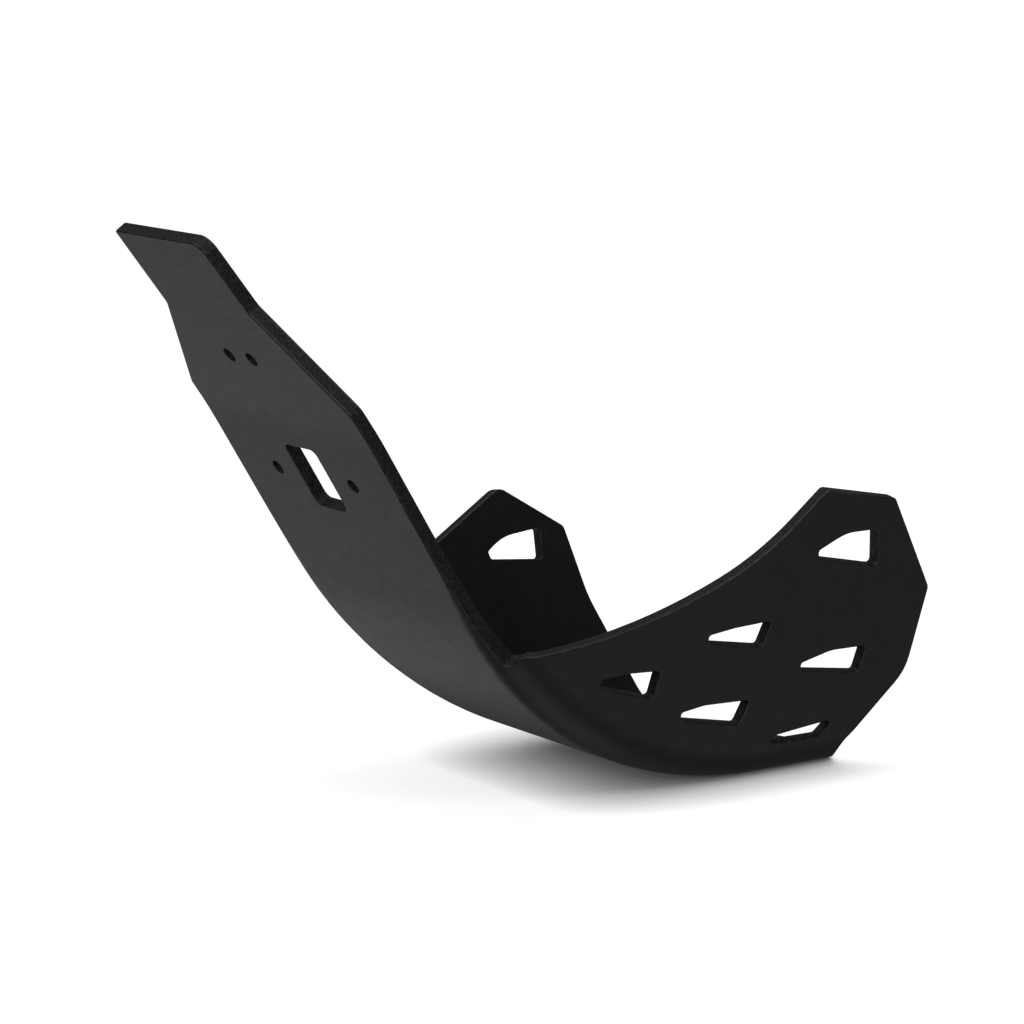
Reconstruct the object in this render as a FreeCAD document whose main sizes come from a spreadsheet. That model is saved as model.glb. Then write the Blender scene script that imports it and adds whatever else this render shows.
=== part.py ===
"""Motorcycle skid plate: one sheet of black plastic formed into a scoop.

A tongue and a broad front panel slope down and back, sweep through a large radius
into a short flat belly, and turn up on both sides into leaning wings. The wings are
pierced by fin-shaped openings and the panel by four bolt holes and a drain slot.

Frame while it is modelled: +X to the front of the bike, +Y to its left, +Z up, with
the origin under the middle of the belly, where the sweep starts. The finished body is
then moved so that its origin lies at the seat between the two upper bolt holes.
"""
import FreeCAD, Part
import math
import os
import Sketcher

# All lengths in mm and all angles in degrees
SIZES = {
    # Sheet and side profile
    "sheet_thickness": 8,
    "sweep_radius": 257.1,
    "lower_angle": 58.7,
    "lower_length": 120.5,
    "upper_angle": 54.5,
    "upper_length": 130.7,
    "panel_bend_radius": 320,
    "belly_half_width": 80.4,
    "side_lean": 10.2,
    "side_bend_radius": 27.4,
    # Tongue and panel outline: half widths, and drops down the panel from its top edge
    "left_tongue_half_width": 40.1,
    "left_tongue_radius": 9.6,
    "right_tongue_half_width": 51.5,
    "right_tongue_radius": 1.6,
    "left_waist_half_width": 45.1,
    "left_waist_drop": 46.6,
    "right_waist_half_width": 47,
    "right_waist_drop": 50,
    "waist_radius": 5,
    "shoulder_half_width": 84.9,
    "shoulder_drop": 112.9,
    "shoulder_radius": 7.5,
    "panel_half_width": 84.5,
    "notch_drop": 295.8,
    "notch_radius": 3.2,
    "notch_out_half_width": 91.7,
    "notch_out_drop": 289.1,
    "notch_out_radius": 4.3,
    # Bolt holes and drain slot
    "bolt_hole_radius": 4.5,
    "upper_hole_offset": 11.7,
    "upper_hole_drop": 83.2,
    "lower_hole_offset": 39.4,
    "lower_hole_drop": 37.3,
    "slot_half_width": 15.8,
    "slot_top_drop": 17.1,
    "slot_bottom_drop": 59.7,
    "slot_radius": 4.3,
    # Left wing outline: places along X, heights up the leaning face, corner radii
    "left_front_x": 187.7,
    "left_front_height": 100.2,
    "left_sweep_x": 111.8,
    "left_sweep_height": 104.1,
    "left_sweep_radius": 363,
    "left_rise_x": 24.6,
    "left_rise_height": 141.4,
    "left_rise_radius": 176,
    "left_apex_x": -15.3,
    "left_apex_height": 177.9,
    "left_apex_radius": 4.3,
    "left_heel_x": -68.8,
    "left_heel_height": 167.5,
    "left_heel_radius": 4.3,
    "left_tip_x": -105.1,
    "left_tip_height": 107.9,
    "left_tip_radius": 5.3,
    "left_tail_x": -96.4,
    "left_tail_height": 55,
    "left_tail_radius": 30,
    "left_foot_x": -48.9,
    "left_foot_height": 8.3,
    "left_foot_radius": 11.9,
    "left_toe_x": -67.1,
    "left_toe_height": -6.2,
    # Right wing outline, shorter and with its apex further forward
    "right_front_x": 187.7,
    "right_front_height": 100.9,
    "right_sweep_x": 160.5,
    "right_sweep_height": 102.4,
    "right_sweep_radius": 85,
    "right_apex_x": 68.6,
    "right_apex_height": 156.6,
    "right_apex_radius": 8.5,
    "right_heel_x": 23,
    "right_heel_height": 127.9,
    "right_heel_radius": 5.3,
    "right_tail_x": 9.5,
    "right_tail_height": 82.3,
    "right_tail_radius": 96,
    "right_foot_x": -30.9,
    "right_foot_height": 2.1,
    # Fin openings, common shape
    "fin_nose_height": 4.6,
    "fin_nose_rake": 2.3,
    "fin_nose_radius": 1.9,
    "fin_crown_radius": 32,
    "fin_corner_radius": 2.3,
    # Past the finished edges, how far blanks and cuts run
    "cut_margin": 30,
}

# Fin openings: where the lower end of the nose lies on the wing, the base's fall to the
# rear, the base's length, the height and rake of the back edge, and the crown's place
FIN_KEYS = ("x", "height_up", "fall", "base", "height", "rake", "crown_at", "crown_height")
LEFT_FINS = {
    "fin1": (-15.9, 135.6, 11.9, 46.3, 22, -8.2, 14.9, 17.2),
    "fin2": (58.5, 92.4, 10.1, 40, 16.2, 2.6, 16, 10.2),
    "fin3": (-14, 65.8, 8.5, 44.8, 16.7, 1.1, 19.2, 13.2),
    "fin4": (133.4, 75.1, 16.6, 40, 16.7, -1.7, 14.9, 11.2),
    "fin5": (71.9, 46.6, 11.4, 44.2, 15.7, 3.2, 13.9, 10.2),
    "fin6": (1.5, 21.8, 0.5, 36.7, 9.8, 10.1, 12.8, 6.3),
}
RIGHT_FINS = {
    "fin7": (79.3, 113.1, 5.7, 37.9, 19.2, -1.9, 8.5, 13.7),
}

doc = FreeCAD.newDocument("SkidPlate")
sheet = doc.addObject("Spreadsheet::Sheet", "Sizes")


def fill_sheet():
    """Write every driving size into the spreadsheet, one aliased cell each."""
    cells = dict(SIZES)
    for name, fin in {**LEFT_FINS, **RIGHT_FINS}.items():
        for key, value in zip(FIN_KEYS, fin):
            cells["{}_{}".format(name, key)] = value
    for row, (alias, value) in enumerate(cells.items(), start=1):
        sheet.set("A{}".format(row), alias)
        sheet.set("B{}".format(row), str(value))
        sheet.setAlias("B{}".format(row), alias)
    doc.recompute()


def size(name):
    """Expression for one cell of the sheet."""
    return "Sizes.{}".format(name)


fill_sheet()

# Places that follow from the side profile, as expressions
SWEEP_CORNER_X = "Sizes.sweep_radius * tan(Sizes.lower_angle / 2)"
LOWER_RUN = "({} + Sizes.lower_length)".format(SWEEP_CORNER_X)
BEND_X = "({} + {} * cos(Sizes.lower_angle))".format(SWEEP_CORNER_X, LOWER_RUN)
BEND_Z = "{} * sin(Sizes.lower_angle)".format(LOWER_RUN)
TOP_X = "({} + Sizes.upper_length * cos(Sizes.upper_angle))".format(BEND_X)
TOP_Z = "({} + Sizes.upper_length * sin(Sizes.upper_angle))".format(BEND_Z)
BLANK_TOP = "({} + Sizes.cut_margin)".format(TOP_Z)
BLANK_REAR = "(Sizes.left_tip_x - Sizes.cut_margin)"
BLANK_HALF = "(Sizes.belly_half_width + {} * tan(Sizes.side_lean) + Sizes.cut_margin)".format(BLANK_TOP)

body = doc.addObject("PartDesign::Body", "Plate")
body.Label = "skid_plate"
planes = {f.Role: f for f in body.Origin.OriginFeatures}


def value_of(expression):
    """Number that an expression gives now."""
    result = sheet.evalExpression(expression)
    return float(getattr(result, "Value", result))


def new_sketch(name, plane, offset=None, turn=None):
    """Sketch on an origin plane, moved by offset and turned about its own X axis."""
    sketch = body.newObject("Sketcher::SketchObject", name)
    sketch.AttachmentSupport = [(planes[plane], "")]
    sketch.MapMode = "FlatFace"
    if turn is not None:
        sketch.AttachmentOffset = FreeCAD.Placement(
            FreeCAD.Vector(0, 0, 0), FreeCAD.Rotation(FreeCAD.Vector(1, 0, 0), value_of(turn)))
        sketch.setExpression("AttachmentOffset.Rotation.Angle", turn)
    for axis, expression in (offset or {}).items():
        sketch.setExpression("AttachmentOffset.Base.{}".format(axis), expression)
    return sketch


def place_point(sketch, geometry, position, x, y):
    """Bind a point of the sketch to two expressions; "0" puts it on an axis."""
    for kind, expression, axis in (("DistanceX", x, -2), ("DistanceY", y, -1)):
        if expression == "0":
            sketch.addConstraint(Sketcher.Constraint("PointOnObject", geometry, position, axis))
            continue
        number = value_of(expression)
        index = sketch.addConstraint(Sketcher.Constraint(kind, -1, 1, geometry, position, number))
        sketch.setExpression("Constraints[{}]".format(index), expression)


def rounding(before, corner, after, radius):
    """Centre, first and last point of the arc that rounds a corner."""
    to_before = (before - corner).normalize()
    to_after = (after - corner).normalize()
    half = to_before.getAngle(to_after) / 2
    reach = radius / math.tan(half)
    centre = corner + (to_before + to_after).normalize() * (radius / math.sin(half))
    return centre, corner + to_before * reach, corner + to_after * reach


def add_arc(sketch, centre, radius, first, last, turns_left):
    """Arc from first to last; returns it and the numbers of its two ends in that order."""
    circle = Part.Circle(centre, FreeCAD.Vector(0, 0, 1), radius)
    if turns_left:
        arc = Part.ArcOfCircle(circle, circle.parameter(first), circle.parameter(last))
        return sketch.addGeometry(arc, False), 1, 2
    arc = Part.ArcOfCircle(circle, circle.parameter(last), circle.parameter(first))
    return sketch.addGeometry(arc, False), 2, 1


def outline(sketch, corners):
    """Closed outline of corners (x, y, radius), all expressions; a radius of None is sharp."""
    points = [FreeCAD.Vector(value_of(x), value_of(y), 0) for x, y, _ in corners]
    count = len(corners)
    arcs = []
    for i, (_, _, radius) in enumerate(corners):
        before, corner, after = points[i - 1], points[i], points[(i + 1) % count]
        if radius is None:
            arcs.append((None, corner, corner))
        else:
            arcs.append(rounding(before, corner, after, value_of(radius)))
    lines = []
    for i in range(count):
        line = Part.LineSegment(arcs[i][2], arcs[(i + 1) % count][1])
        lines.append(sketch.addGeometry(line, False))
    for i, (x, y, radius) in enumerate(corners):
        line_in, line_out = lines[i - 1], lines[i]
        if radius is None:
            sketch.addConstraint(Sketcher.Constraint("Coincident", line_in, 2, line_out, 1))
            place_point(sketch, line_out, 1, x, y)
            continue
        centre, first, last = arcs[i]
        turn = (points[i] - points[i - 1]).cross(points[(i + 1) % count] - points[i]).z
        arc, start, end = add_arc(sketch, centre, value_of(radius), first, last, turn > 0)
        sketch.addConstraint(Sketcher.Constraint("Tangent", line_in, 2, arc, start))
        sketch.addConstraint(Sketcher.Constraint("Tangent", arc, end, line_out, 1))
        index = sketch.addConstraint(Sketcher.Constraint("Radius", arc, value_of(radius)))
        sketch.setExpression("Constraints[{}]".format(index), radius)
        mark = sketch.addGeometry(Part.Point(points[i]), True)
        place_point(sketch, mark, 1, x, y)
        sketch.addConstraint(Sketcher.Constraint("PointOnObject", mark, 1, line_in))
        sketch.addConstraint(Sketcher.Constraint("PointOnObject", mark, 1, line_out))


def circle(sketch, x, y, radius):
    """Full circle with its centre and radius bound to expressions."""
    centre = FreeCAD.Vector(value_of(x), value_of(y), 0)
    index = sketch.addGeometry(Part.Circle(centre, FreeCAD.Vector(0, 0, 1), value_of(radius)), False)
    place_point(sketch, index, 3, x, y)
    number = sketch.addConstraint(Sketcher.Constraint("Radius", index, value_of(radius)))
    sketch.setExpression("Constraints[{}]".format(number), radius)


def checked(feature):
    """The feature, once it has been computed and found sound."""
    doc.recompute()
    failed = [state for state in feature.State if state in ("Invalid", "Error")]
    if failed or feature.Shape.isNull() or not feature.Shape.isValid():
        raise RuntimeError("{} failed: {}".format(feature.Name, feature.State))
    return feature


def cut(name, sketch, depth=None, inward=True):
    """Pocket along the sketch's normal, through all both ways or to one depth."""
    before = body.Tip.Shape.Volume
    pocket = body.newObject("PartDesign::Pocket", name)
    pocket.Profile = sketch
    if depth is None:
        pocket.Type = "ThroughAll"
        pocket.Midplane = True
    else:
        pocket.Type = "Length"
        pocket.setExpression("Length", depth)
        pocket.Reversed = inward
    checked(pocket)
    if pocket.Shape.Volume > before - 1:
        raise RuntimeError("{} cuts nothing".format(name))
    return pocket


def blank():
    """Solid that the sheet is wrapped round: side profile, leaning sides, rounded corners."""
    sketch = new_sketch("SideProfile", "XZ_Plane")
    top_x = "({} + ({} - {}) / tan(Sizes.upper_angle))".format(BEND_X, BLANK_TOP, BEND_Z)
    outline(sketch, [
        (BLANK_REAR, "0", None),
        (SWEEP_CORNER_X, "0", size("sweep_radius")),
        (BEND_X, BEND_Z, size("panel_bend_radius")),
        (top_x, BLANK_TOP, None),
        (BLANK_REAR, BLANK_TOP, None),
    ])
    pad = body.newObject("PartDesign::Pad", "Blank")
    pad.Profile = sketch
    pad.Midplane = True
    pad.setExpression("Length", "2 * {}".format(BLANK_HALF))
    checked(pad)
    sides = new_sketch("LeaningSides", "YZ_Plane")
    low = "-Sizes.cut_margin"
    high = "({} + Sizes.cut_margin)".format(BLANK_TOP)
    edge = "(Sizes.belly_half_width + {} * tan(Sizes.side_lean))"
    far = "({} + Sizes.cut_margin)".format(BLANK_HALF)
    for sign in ("", "-"):
        outline(sides, [
            (sign + edge.format("({})".format(low)), low, None),
            (sign + far, low, None),
            (sign + far, high, None),
            (sign + edge.format(high), high, None),
        ])
    cut("SideCuts", sides)


def lies_flat(face, axis, level):
    """Whether a flat face lies all at one level of an axis."""
    box = face.BoundBox
    low, high = (box.XMin, box.XMax) if axis == "x" else (box.ZMin, box.ZMax)
    return abs(low - level) < 0.01 and abs(high - level) < 0.01


def side_edges(shape):
    """Names of the long edges where the panel, sweep and belly meet the leaning sides."""
    names = []
    for number, edge in enumerate(shape.Edges, start=1):
        ends = [vertex.Point for vertex in edge.Vertexes]
        top, rear = value_of(BLANK_TOP), value_of(BLANK_REAR)
        at_top = all(abs(point.z - top) < 0.01 for point in ends)
        at_rear = all(abs(point.x - rear) < 0.01 for point in ends)
        across = abs(ends[0].y - ends[-1].y) > value_of(size("belly_half_width"))
        if not (at_top or at_rear or across):
            names.append("Edge{}".format(number))
    return names


def formed_sheet():
    """The blank with rounded side bends, hollowed to one sheet open at the top and rear."""
    blank()
    bends = body.newObject("PartDesign::Fillet", "SideBends")
    base = body.Tip if body.Tip != bends else bends.BaseFeature
    bends.Base = (base, side_edges(base.Shape))
    bends.setExpression("Radius", size("side_bend_radius"))
    checked(bends)
    top, rear = value_of(BLANK_TOP), value_of(BLANK_REAR)
    open_faces = ["Face{}".format(number) for number, face in enumerate(bends.Shape.Faces, start=1)
                  if lies_flat(face, "z", top) or lies_flat(face, "x", rear)]
    shell = body.newObject("PartDesign::Thickness", "Sheet")
    shell.Base = (bends, open_faces)
    shell.Mode = 0
    shell.Join = 1
    shell.Reversed = True
    shell.setExpression("Value", size("sheet_thickness"))
    checked(shell)


def panel_sketch(name, at_x, at_z, angle):
    """Sketch on the panel's front face: X to the bike's left, Y up the panel."""
    return new_sketch(name, "YZ_Plane", offset={"y": at_z, "z": at_x}, turn="90 - {}".format(angle))


def wing_sketch(name, side):
    """Sketch a margin outside a wing, parallel to it: X forward, Y up the leaning wing."""
    offset = {"y": "-Sizes.cut_margin * sin(Sizes.side_lean)"}
    out = "(Sizes.belly_half_width + Sizes.cut_margin * cos(Sizes.side_lean))"
    if side == "left":
        offset["z"] = "-{}".format(out)
        return new_sketch(name, "XZ_Plane", offset, turn="-Sizes.side_lean")
    offset["z"] = out
    return new_sketch(name, "XZ_Plane", offset, turn="Sizes.side_lean")


def panel_side(side, sign):
    """Corners of one side of the panel, from its notch up to its corner of the tongue."""
    corners = [
        (size("notch_out_half_width"), size("notch_out_drop"), size("notch_out_radius")),
        (size("panel_half_width"), size("notch_drop"), size("notch_radius")),
        (size("shoulder_half_width"), size("shoulder_drop"), size("shoulder_radius")),
        (size(side + "_waist_half_width"), size(side + "_waist_drop"), size("waist_radius")),
        (size(side + "_tongue_half_width"), "0", size(side + "_tongue_radius")),
    ]
    return [(sign + across, drop if drop == "0" else "-" + drop, radius)
            for across, drop, radius in corners]


def trim_panel():
    """Cut the tongue, waist, shoulders and straight sides down to the notches."""
    sketch = panel_sketch("PanelOutline", TOP_X, TOP_Z, size("upper_angle"))
    outside = "({} + Sizes.cut_margin)".format(BLANK_HALF)
    above = "(3 * Sizes.cut_margin)"
    outline(sketch, panel_side("left", "") + panel_side("right", "-")[::-1] + [
        ("-" + outside, "-Sizes.notch_out_drop", None),
        ("-" + outside, above, None),
        (outside, above, None),
        (outside, "-Sizes.notch_out_drop", None),
    ])
    cut("PanelTrim", sketch)


def trim_wing(side, corners):
    """Cut away what lies above and behind a wing, down through its bend."""
    sketch = wing_sketch("{}WingOutline".format(side.title()), side)
    edge = [(size("{}_{}_x".format(side, name)), size("{}_{}_height".format(side, name)),
             size("{}_{}_radius".format(side, name)) if rounded else None)
            for name, rounded in corners]
    front_x, front_height, _ = edge[0]
    end_x = edge[-1][0]
    reach = "(({} - {}) / tan(Sizes.lower_angle))".format(BLANK_TOP, front_height)
    low = "(-2 * Sizes.cut_margin)"
    behind = "({} - Sizes.cut_margin)".format(BLANK_REAR)
    above = "({} + 2 * Sizes.cut_margin)".format(BLANK_TOP)
    outline(sketch, edge + [
        (end_x, low, None),
        (behind, low, None),
        (behind, above, None),
        ("({} + {})".format(front_x, reach), above, None),
    ])
    depth = "Sizes.cut_margin + Sizes.side_bend_radius + Sizes.sheet_thickness"
    cut("{}WingTrim".format(side.title()), sketch, depth, inward=side == "left")


def trim_belly():
    """Cut the belly's rear edge, from the left toe to the end of the right wing's cut."""
    sketch = new_sketch("BellyEnd", "XY_Plane")
    behind = "({} - Sizes.cut_margin)".format(BLANK_REAR)
    half = size("belly_half_width")
    flat = "({} - Sizes.side_bend_radius - 1.5 * Sizes.sheet_thickness)".format(half)
    outline(sketch, [
        (size("left_toe_x"), half, None),
        (behind, half, None),
        (behind, "-{}".format(half), None),
        (size("right_foot_x"), "-{}".format(half), None),
        (size("right_foot_x"), "-{}".format(flat), None),
    ])
    cut("BellyTrim", sketch, "2 * Sizes.sheet_thickness", inward=True)


def bolt_holes():
    """Two holes near the tongue and two wider apart beside the drain slot."""
    pairs = (
        ("Upper", TOP_X, TOP_Z, "upper_angle"),
        ("Lower", BEND_X, BEND_Z, "lower_angle"),
    )
    for title, at_x, at_z, angle in pairs:
        sketch = panel_sketch("{}BoltHoles".format(title), at_x, at_z, size(angle))
        place = title.lower()
        for sign in ("", "-"):
            circle(sketch, sign + size("{}_hole_offset".format(place)),
                   "-Sizes.{}_hole_drop".format(place), size("bolt_hole_radius"))
        cut("{}BoltHolePair".format(title), sketch)


def drain_slot():
    """Upright slot with rounded corners between the lower bolt holes."""
    sketch = panel_sketch("DrainSlotOutline", BEND_X, BEND_Z, size("lower_angle"))
    half, radius = size("slot_half_width"), size("slot_radius")
    outline(sketch, [
        (half, "-Sizes.slot_bottom_drop", radius),
        (half, "-Sizes.slot_top_drop", radius),
        ("-" + half, "-Sizes.slot_top_drop", radius),
        ("-" + half, "-Sizes.slot_bottom_drop", radius),
    ])
    cut("DrainSlot", sketch)


def fin_opening(side, name):
    """Fin-shaped opening through a wing, its blunt nose forward and its back edge raked."""
    base, height, rake, crown_at, crown_height, fall = [
        size("{}_{}".format(name, key))
        for key in ("base", "height", "rake", "crown_at", "crown_height", "fall")]
    shape = [
        ("0", "0", size("fin_nose_radius")),
        ("-Sizes.fin_nose_rake", size("fin_nose_height"), size("fin_nose_radius")),
        (crown_at, crown_height, size("fin_crown_radius")),
        ("({} + {})".format(base, rake), height, size("fin_corner_radius")),
        (base, "0", size("fin_corner_radius")),
    ]
    corners = []
    for back, up, radius in shape:
        x = "{n}_x - {b} * cos({f}) - {u} * sin({f})".format(n=size(name), b=back, u=up, f=fall)
        y = "{n}_height_up - {b} * sin({f}) + {u} * cos({f})".format(n=size(name), b=back, u=up, f=fall)
        corners.append((x, y, radius))
    sketch = wing_sketch("{}Outline".format(name.title()), side)
    outline(sketch, corners)
    cut("{}Opening".format(name.title()), sketch, "Sizes.cut_margin + 2 * Sizes.sheet_thickness",
        inward=side == "left")


def place_origin():
    """Move the body so that its origin is the seat between the two upper bolt holes."""
    across = "(Sizes.upper_hole_drop * cos(Sizes.upper_angle)" \
             " + Sizes.sheet_thickness * sin(Sizes.upper_angle))"
    up = "(Sizes.sheet_thickness * cos(Sizes.upper_angle)" \
         " - Sizes.upper_hole_drop * sin(Sizes.upper_angle))"
    body.setExpression("Placement.Base.x", "{} - {}".format(across, TOP_X))
    body.setExpression("Placement.Base.z", "-({} + {})".format(TOP_Z, up))
    doc.recompute()


def write_step():
    """Check every object of the document, then write the finished sheet."""
    for item in doc.Objects:
        failed = [state for state in item.State if state in ("Invalid", "Error")]
        if failed:
            raise RuntimeError("{} is {}".format(item.Name, failed))
    shape = body.Shape
    if shape.isNull() or not shape.isValid() or len(shape.Solids) != 1:
        raise RuntimeError("the sheet is not one sound solid")
    os.makedirs("parts", exist_ok=True)
    shape.exportStep("parts/{}.step".format(body.Label))
    print("{}: {:.0f} mm3".format(body.Label, shape.Volume))


formed_sheet()
trim_panel()
trim_wing("left", [("front", False), ("sweep", True), ("rise", True), ("apex", True),
                   ("heel", True), ("tip", True), ("tail", True), ("foot", True),
                   ("toe", False)])
trim_wing("right", [("front", False), ("sweep", True), ("apex", True), ("heel", True),
                    ("tail", True), ("foot", False)])
trim_belly()
bolt_holes()
drain_slot()
for name in LEFT_FINS:
    fin_opening("left", name)
for name in RIGHT_FINS:
    fin_opening("right", name)
place_origin()
write_step()
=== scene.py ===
"""Looks of the motorcycle skid plate: formed black polyethylene sheet in a pale studio."""
import math

import bmesh
import bpy
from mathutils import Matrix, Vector


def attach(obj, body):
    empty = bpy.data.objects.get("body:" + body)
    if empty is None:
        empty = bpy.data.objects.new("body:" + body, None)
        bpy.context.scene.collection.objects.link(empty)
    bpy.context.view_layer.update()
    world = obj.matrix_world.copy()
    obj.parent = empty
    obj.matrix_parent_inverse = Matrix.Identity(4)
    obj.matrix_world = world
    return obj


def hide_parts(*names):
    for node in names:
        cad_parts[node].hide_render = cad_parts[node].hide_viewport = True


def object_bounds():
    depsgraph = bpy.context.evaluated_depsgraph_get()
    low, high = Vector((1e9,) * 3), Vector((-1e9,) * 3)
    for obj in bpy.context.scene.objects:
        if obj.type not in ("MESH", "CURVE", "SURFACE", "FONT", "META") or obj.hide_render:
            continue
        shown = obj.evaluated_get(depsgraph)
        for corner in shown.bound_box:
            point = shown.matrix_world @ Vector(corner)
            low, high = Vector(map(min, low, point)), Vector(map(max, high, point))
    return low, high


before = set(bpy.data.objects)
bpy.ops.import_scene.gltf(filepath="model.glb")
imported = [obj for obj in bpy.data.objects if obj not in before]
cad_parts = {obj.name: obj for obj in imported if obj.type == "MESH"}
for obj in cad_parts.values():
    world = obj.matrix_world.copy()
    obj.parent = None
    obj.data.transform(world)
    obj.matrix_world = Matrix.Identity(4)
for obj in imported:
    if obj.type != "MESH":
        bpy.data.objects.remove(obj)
cad_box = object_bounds()

# Lengths are in metres and angles in degrees, unless a line says otherwise
MM = 0.001
MM2 = MM * MM

# Camera, fitted to the photograph: the point it looks at, and its place seen from there
CAMERA_TARGET = Vector((-0.1666, 0.0109, -0.1066))
CAMERA_AZIMUTH = 55
CAMERA_ELEVATION = 10.2
CAMERA_DISTANCE = 2.0267
CAMERA_LENS_MM = 123.8
SENSOR_WIDTH_MM = 36
VIEW_REACH = 200

# Even light from all round, and one very soft light as from a large window
WORLD_LIGHT = 0.07
WINDOW_LIGHT = 0.9
WINDOW_AZIMUTH = -20
WINDOW_ELEVATION = 60
WINDOW_SPREAD = 70

# Soft boxes: azimuth, elevation, size, and power in watts
LIGHT_DISTANCE = 2.8
SOFT_BOXES = {
    "FarSideBounce": (-90, -30, 1.6, 4.6),
    "NearRearBounce": (135, -35, 1.6, 2.2),
    "NearBounce": (95, -32, 1.6, 2.6),
    "TableBounce": (0, -88, 1.6, 3.3),
    "CameraFill": (45, 10, 1.6, 14.9),
    "HighSideBox": (90, 45, 0.8, 9),
    "RearBox": (185, 60, 1.6, 8),
}

# Floor: its surface, its own light, how near the object has to be to dim that into a painted
# contact shadow, its extent
FLOOR_WHITE = 0.9
FLOOR_ROUGHNESS = 0.9
FLOOR_GLOW = 0.72
FLOOR_SHADE_REACH = 0.04
FLOOR_SHADE_SAMPLES = 4
FLOOR_REACH = 40

# Rounding of the rims, where the cut walls meet the sheet's two skins
RIM_ROUNDING = 1.1 * MM
FIN_ROUNDING = 0.9 * MM
SLOT_ROUNDING = 0.6 * MM
BORE_ROUNDING = 0.3 * MM
ROUNDING_SEGMENTS = 4
ROUND_PROFILE = 0.5

# What tells the openings apart: a bolt hole's wall is small, the slot's is short along X
BORE_WALL_AREA = 300 * MM2
SLOT_WALL_LENGTH = 35 * MM

# Clean-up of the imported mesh: what counts as one point, one flat face and a sharp edge
WELD_DISTANCE = 0.001 * MM
FLAT_ANGLE = 0.3
SHARP_ANGLE = 40

# Material slots on the finished sheet, after the skin's
WALL_SLOT = 1
RIM_SLOT = 2

# Range that holds nearly all the values of a noise
NOISE_LOW = 0.35
NOISE_HIGH = 0.65


def placed(name, data):
    """New object in the scene that shows the given data."""
    item = bpy.data.objects.new(name, data)
    bpy.context.scene.collection.objects.link(item)
    return item


def aim(item, azimuth, elevation, distance):
    """Move a camera or a light out from the camera's target, looking back at it."""
    around = math.radians(azimuth)
    up = math.radians(elevation)
    out = Vector((math.cos(up) * math.cos(around), math.cos(up) * math.sin(around), math.sin(up)))
    item.location = CAMERA_TARGET + out * distance
    item.rotation_euler = out.to_track_quat("Z", "Y").to_euler()


def camera():
    """Camera at the photograph's viewing angle."""
    data = bpy.data.cameras.new("Camera")
    data.lens = CAMERA_LENS_MM
    data.sensor_width = SENSOR_WIDTH_MM
    data.clip_end = VIEW_REACH
    item = placed("Camera", data)
    aim(item, CAMERA_AZIMUTH, CAMERA_ELEVATION, CAMERA_DISTANCE)
    bpy.context.scene.camera = item


def world_light():
    """Faint even light from all round, though the background itself looks white."""
    world = bpy.data.worlds.new("Studio")
    bpy.context.scene.world = world
    world.use_nodes = True
    nodes, links = world.node_tree.nodes, world.node_tree.links
    backdrop = nodes["Background"]
    backdrop.inputs["Color"].default_value = (1, 1, 1, 1)
    path = nodes.new("ShaderNodeLightPath")
    strength = nodes.new("ShaderNodeMapRange")
    strength.inputs["To Min"].default_value = WORLD_LIGHT
    strength.inputs["To Max"].default_value = 1
    links.new(path.outputs["Is Camera Ray"], strength.inputs["Value"])
    links.new(strength.outputs["Result"], backdrop.inputs["Strength"])


def window_light():
    """Very soft light from high in front, even over the whole floor."""
    data = bpy.data.lights.new("WindowLight", "SUN")
    data.energy = WINDOW_LIGHT
    data.angle = math.radians(WINDOW_SPREAD)
    aim(placed("WindowLight", data), WINDOW_AZIMUTH, WINDOW_ELEVATION, LIGHT_DISTANCE)


def soft_box(name, azimuth, elevation, size, power):
    """Square light that faces the object from one side."""
    data = bpy.data.lights.new(name, "AREA")
    data.shape = "SQUARE"
    data.size = size
    data.energy = power
    aim(placed(name, data), azimuth, elevation, LIGHT_DISTANCE)


def pale_floor():
    """Pale matte floor whose own light fades close to the object as a painted contact shadow,
    clear from underneath.
    """
    material = bpy.data.materials.new("PaleFloor")
    material.use_nodes = True
    nodes, links = material.node_tree.nodes, material.node_tree.links
    shader = nodes["Principled BSDF"]
    shader.inputs["Base Color"].default_value = (FLOOR_WHITE, FLOOR_WHITE, FLOOR_WHITE, 1)
    shader.inputs["Roughness"].default_value = FLOOR_ROUGHNESS
    shader.inputs["Specular IOR Level"].default_value = 0
    shader.inputs["Emission Color"].default_value = (1, 1, 1, 1)
    # Painted contact shadow: the floor's glow is dimmed wherever the object stands close above it
    painted_shadow = nodes.new("ShaderNodeAmbientOcclusion")
    painted_shadow.samples = FLOOR_SHADE_SAMPLES
    painted_shadow.inputs["Distance"].default_value = FLOOR_SHADE_REACH
    light = nodes.new("ShaderNodeMath")
    light.operation = "MULTIPLY"
    light.inputs[1].default_value = FLOOR_GLOW
    links.new(painted_shadow.outputs["AO"], light.inputs[0])
    links.new(light.outputs["Value"], shader.inputs["Emission Strength"])
    side = nodes.new("ShaderNodeNewGeometry")
    clear = nodes.new("ShaderNodeBsdfTransparent")
    sided = nodes.new("ShaderNodeMixShader")
    links.new(side.outputs["Backfacing"], sided.inputs["Fac"])
    links.new(shader.outputs["BSDF"], sided.inputs[1])
    links.new(clear.outputs["BSDF"], sided.inputs[2])
    links.new(sided.outputs["Shader"], nodes["Material Output"].inputs["Surface"])
    return material


def floor(level):
    """Plain floor that the belly rests on, from which no light bounces back up to it."""
    ground = bpy.data.meshes.new("Floor")
    corners = [(-1, -1), (1, -1), (1, 1), (-1, 1)]
    ground.from_pydata([(x * FLOOR_REACH, y * FLOOR_REACH, level) for x, y in corners],
                       [], [(0, 1, 2, 3)])
    ground.materials.append(pale_floor())
    item = placed("Floor", ground)
    item.visible_diffuse = False
    item.visible_glossy = False
    item.visible_shadow = False


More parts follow.
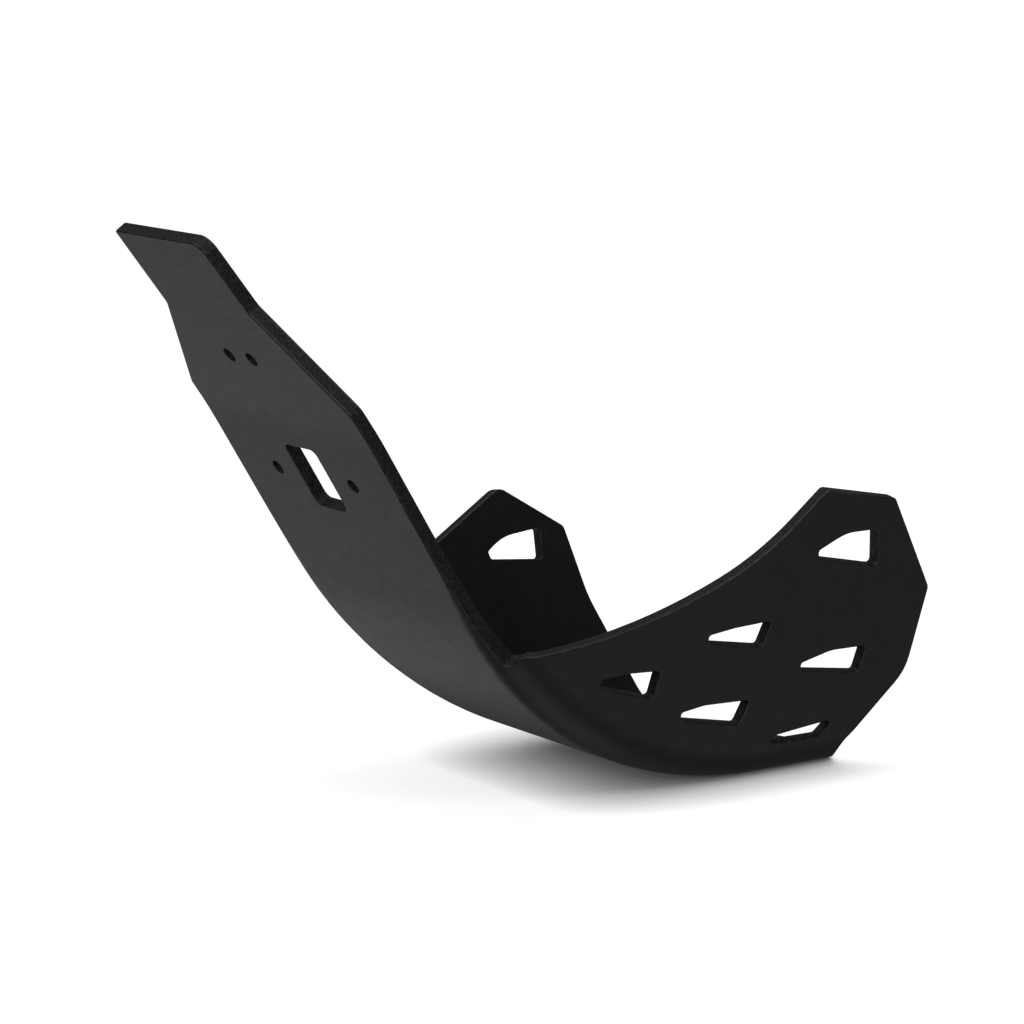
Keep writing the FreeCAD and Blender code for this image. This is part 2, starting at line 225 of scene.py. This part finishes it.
class Look:
    """Node tree of one plastic surface, built up step by step."""

    def __init__(self, name):
        self.material = bpy.data.materials.new(name)
        self.material.use_nodes = True
        tree = self.material.node_tree
        self.nodes, self.links = tree.nodes, tree.links
        self.shader = self.nodes["Principled BSDF"]
        self.place = self.nodes.new("ShaderNodeTexCoord").outputs["Object"]

    def noise(self, scale, detail):
        """Noise in the object's own space, with a scale per metre."""
        node = self.nodes.new("ShaderNodeTexNoise")
        node.inputs["Scale"].default_value = scale
        node.inputs["Detail"].default_value = detail
        self.links.new(self.place, node.inputs["Vector"])
        return node.outputs["Fac"]

    def spread(self, value, low, high):
        """A noise's values stretched to a range of their own."""
        node = self.nodes.new("ShaderNodeMapRange")
        node.inputs["From Min"].default_value = NOISE_LOW
        node.inputs["From Max"].default_value = NOISE_HIGH
        node.inputs["To Min"].default_value = low
        node.inputs["To Max"].default_value = high
        self.links.new(value, node.inputs["Value"])
        return node.outputs["Result"]

    def shades(self, value, dark, light):
        """Colour between two shades, by the values of a noise."""
        node = self.nodes.new("ShaderNodeValToRGB")
        node.color_ramp.elements[0].color = (*dark, 1)
        node.color_ramp.elements[1].color = (*light, 1)
        self.links.new(self.spread(value, 0, 1), node.inputs["Fac"])
        self.links.new(node.outputs["Color"], self.shader.inputs["Base Color"])

    def rough(self, value, low, high):
        """Roughness between two levels, by the values of a noise."""
        self.links.new(self.spread(value, low, high), self.shader.inputs["Roughness"])

    def bump(self, value, depth, strength, under=None):
        """Relief of a given depth, on top of a coarser one if there is one."""
        node = self.nodes.new("ShaderNodeBump")
        node.inputs["Strength"].default_value = strength
        node.inputs["Distance"].default_value = depth
        self.links.new(value, node.inputs["Height"])
        if under is not None:
            self.links.new(under, node.inputs["Normal"])
        self.links.new(node.outputs["Normal"], self.shader.inputs["Normal"])
        return node.outputs["Normal"]


def moulded_skin():
    """Matte skin of pressed polyethylene: fine grain, faint mottling, slight waves."""
    look = Look("MouldedSkin")
    look.shades(look.noise(scale=110, detail=5),
                dark=(0.0095, 0.0095, 0.0098), light=(0.0145, 0.0145, 0.0148))
    look.rough(look.noise(scale=160, detail=4), low=0.435, high=0.465)
    waves = look.bump(look.noise(scale=60, detail=2), depth=0.2 * MM, strength=0.05)
    look.bump(look.noise(scale=1100, detail=3), depth=0.12 * MM, strength=0.3, under=waves)
    return look.material


def cut_edge():
    """Sawn edge: coarse and dull, with a speckled grain."""
    look = Look("CutEdge")
    look.shader.inputs["Specular IOR Level"].default_value = 0.3
    grain = look.noise(scale=800, detail=6)
    look.shades(grain, dark=(0.002, 0.002, 0.002), light=(0.03, 0.03, 0.031))
    look.rough(look.noise(scale=500, detail=4), low=0.3, high=0.55)
    look.bump(grain, depth=1 * MM, strength=1)
    return look.material


def eased_rim():
    """Rim eased by hand along the cut edge, a little lighter where it is scuffed."""
    look = Look("EasedRim")
    scuffs = look.noise(scale=240, detail=6)
    look.shades(scuffs, dark=(0.008, 0.008, 0.0082), light=(0.034, 0.034, 0.035))
    look.rough(look.noise(scale=420, detail=4), low=0.32, high=0.46)
    look.bump(scuffs, depth=0.3 * MM, strength=0.5)
    return look.material


def area_of(faces):
    """Area of a group of faces."""
    return sum(face.calc_area() for face in faces)


def joined_groups(faces, greatest_angle=math.inf):
    """Groups of faces joined over edges no sharper than an angle, the largest group first."""
    left = set(faces)
    found = []
    for start in faces:
        if start not in left:
            continue
        left.remove(start)
        group = [start]
        for reached in group:
            for edge in reached.edges:
                if edge.calc_face_angle(0) <= greatest_angle:
                    fresh = [face for face in edge.link_faces if face in left]
                    left.difference_update(fresh)
                    group.extend(fresh)
        found.append(group)
    return sorted(found, key=area_of, reverse=True)


def cut_walls(bm):
    """Cut walls of the sheet, one group of faces for each closed outline, largest first."""
    outer, inner = joined_groups(bm.faces, math.radians(SHARP_ANGLE))[:2]
    skins = set(outer + inner)
    return joined_groups([face for face in bm.faces if face not in skins])


def rounding_of(wall):
    """Rounding of an opening's rims, told from the area and the length of its wall."""
    places = [vert.co.x for face in wall for vert in face.verts]
    if area_of(wall) < BORE_WALL_AREA:
        return BORE_ROUNDING
    if max(places) - min(places) < SLOT_WALL_LENGTH:
        return SLOT_ROUNDING
    return FIN_ROUNDING


def rim_edges(wall):
    """Edges along which a cut wall meets the sheet's skins."""
    faces = set(wall)
    return [edge for face in wall for edge in face.edges
            if not faces.issuperset(edge.link_faces)]


def round_rims(bm):
    """Mark the cut walls and round their rims: the outline most, the bolt holes least."""
    outline, *openings = cut_walls(bm)
    rims = [(rim_edges(outline), RIM_ROUNDING)]
    rims += [(rim_edges(wall), rounding_of(wall)) for wall in openings]
    for wall in (outline, *openings):
        for face in wall:
            face.material_index = WALL_SLOT
    for edges, rounding in rims:
        bmesh.ops.bevel(bm, geom=edges, offset=rounding, offset_type="OFFSET",
                        segments=ROUNDING_SEGMENTS, profile=ROUND_PROFILE, affect="EDGES",
                        clamp_overlap=False, material=RIM_SLOT)


def finished_sheet():
    """The formed sheet with its cut edges eased, in place of the plain CAD one."""
    bm = bmesh.new()
    bm.from_mesh(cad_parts["skid_plate"].data)
    bmesh.ops.remove_doubles(bm, verts=bm.verts, dist=WELD_DISTANCE)
    bmesh.ops.dissolve_limit(bm, angle_limit=math.radians(FLAT_ANGLE), verts=bm.verts,
                             edges=bm.edges)
    round_rims(bm)
    mesh = bpy.data.meshes.new("skid_plate_sheet")
    bm.to_mesh(mesh)
    bm.free()
    for polygon in mesh.polygons:
        polygon.use_smooth = True
    for material in (moulded_skin(), cut_edge(), eased_rim()):
        mesh.materials.append(material)
    item = placed("skid_plate_sheet", mesh)
    item.modifiers.new("EvenShading", "WEIGHTED_NORMAL")
    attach(item, "root")
    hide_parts("skid_plate")


# Tones are shown as the lights and materials give them
bpy.context.scene.view_settings.view_transform = "Standard"

camera()
world_light()
window_light()
for light, setting in SOFT_BOXES.items():
    soft_box(light, *setting)
floor(cad_box[0][2])
finished_sheet()
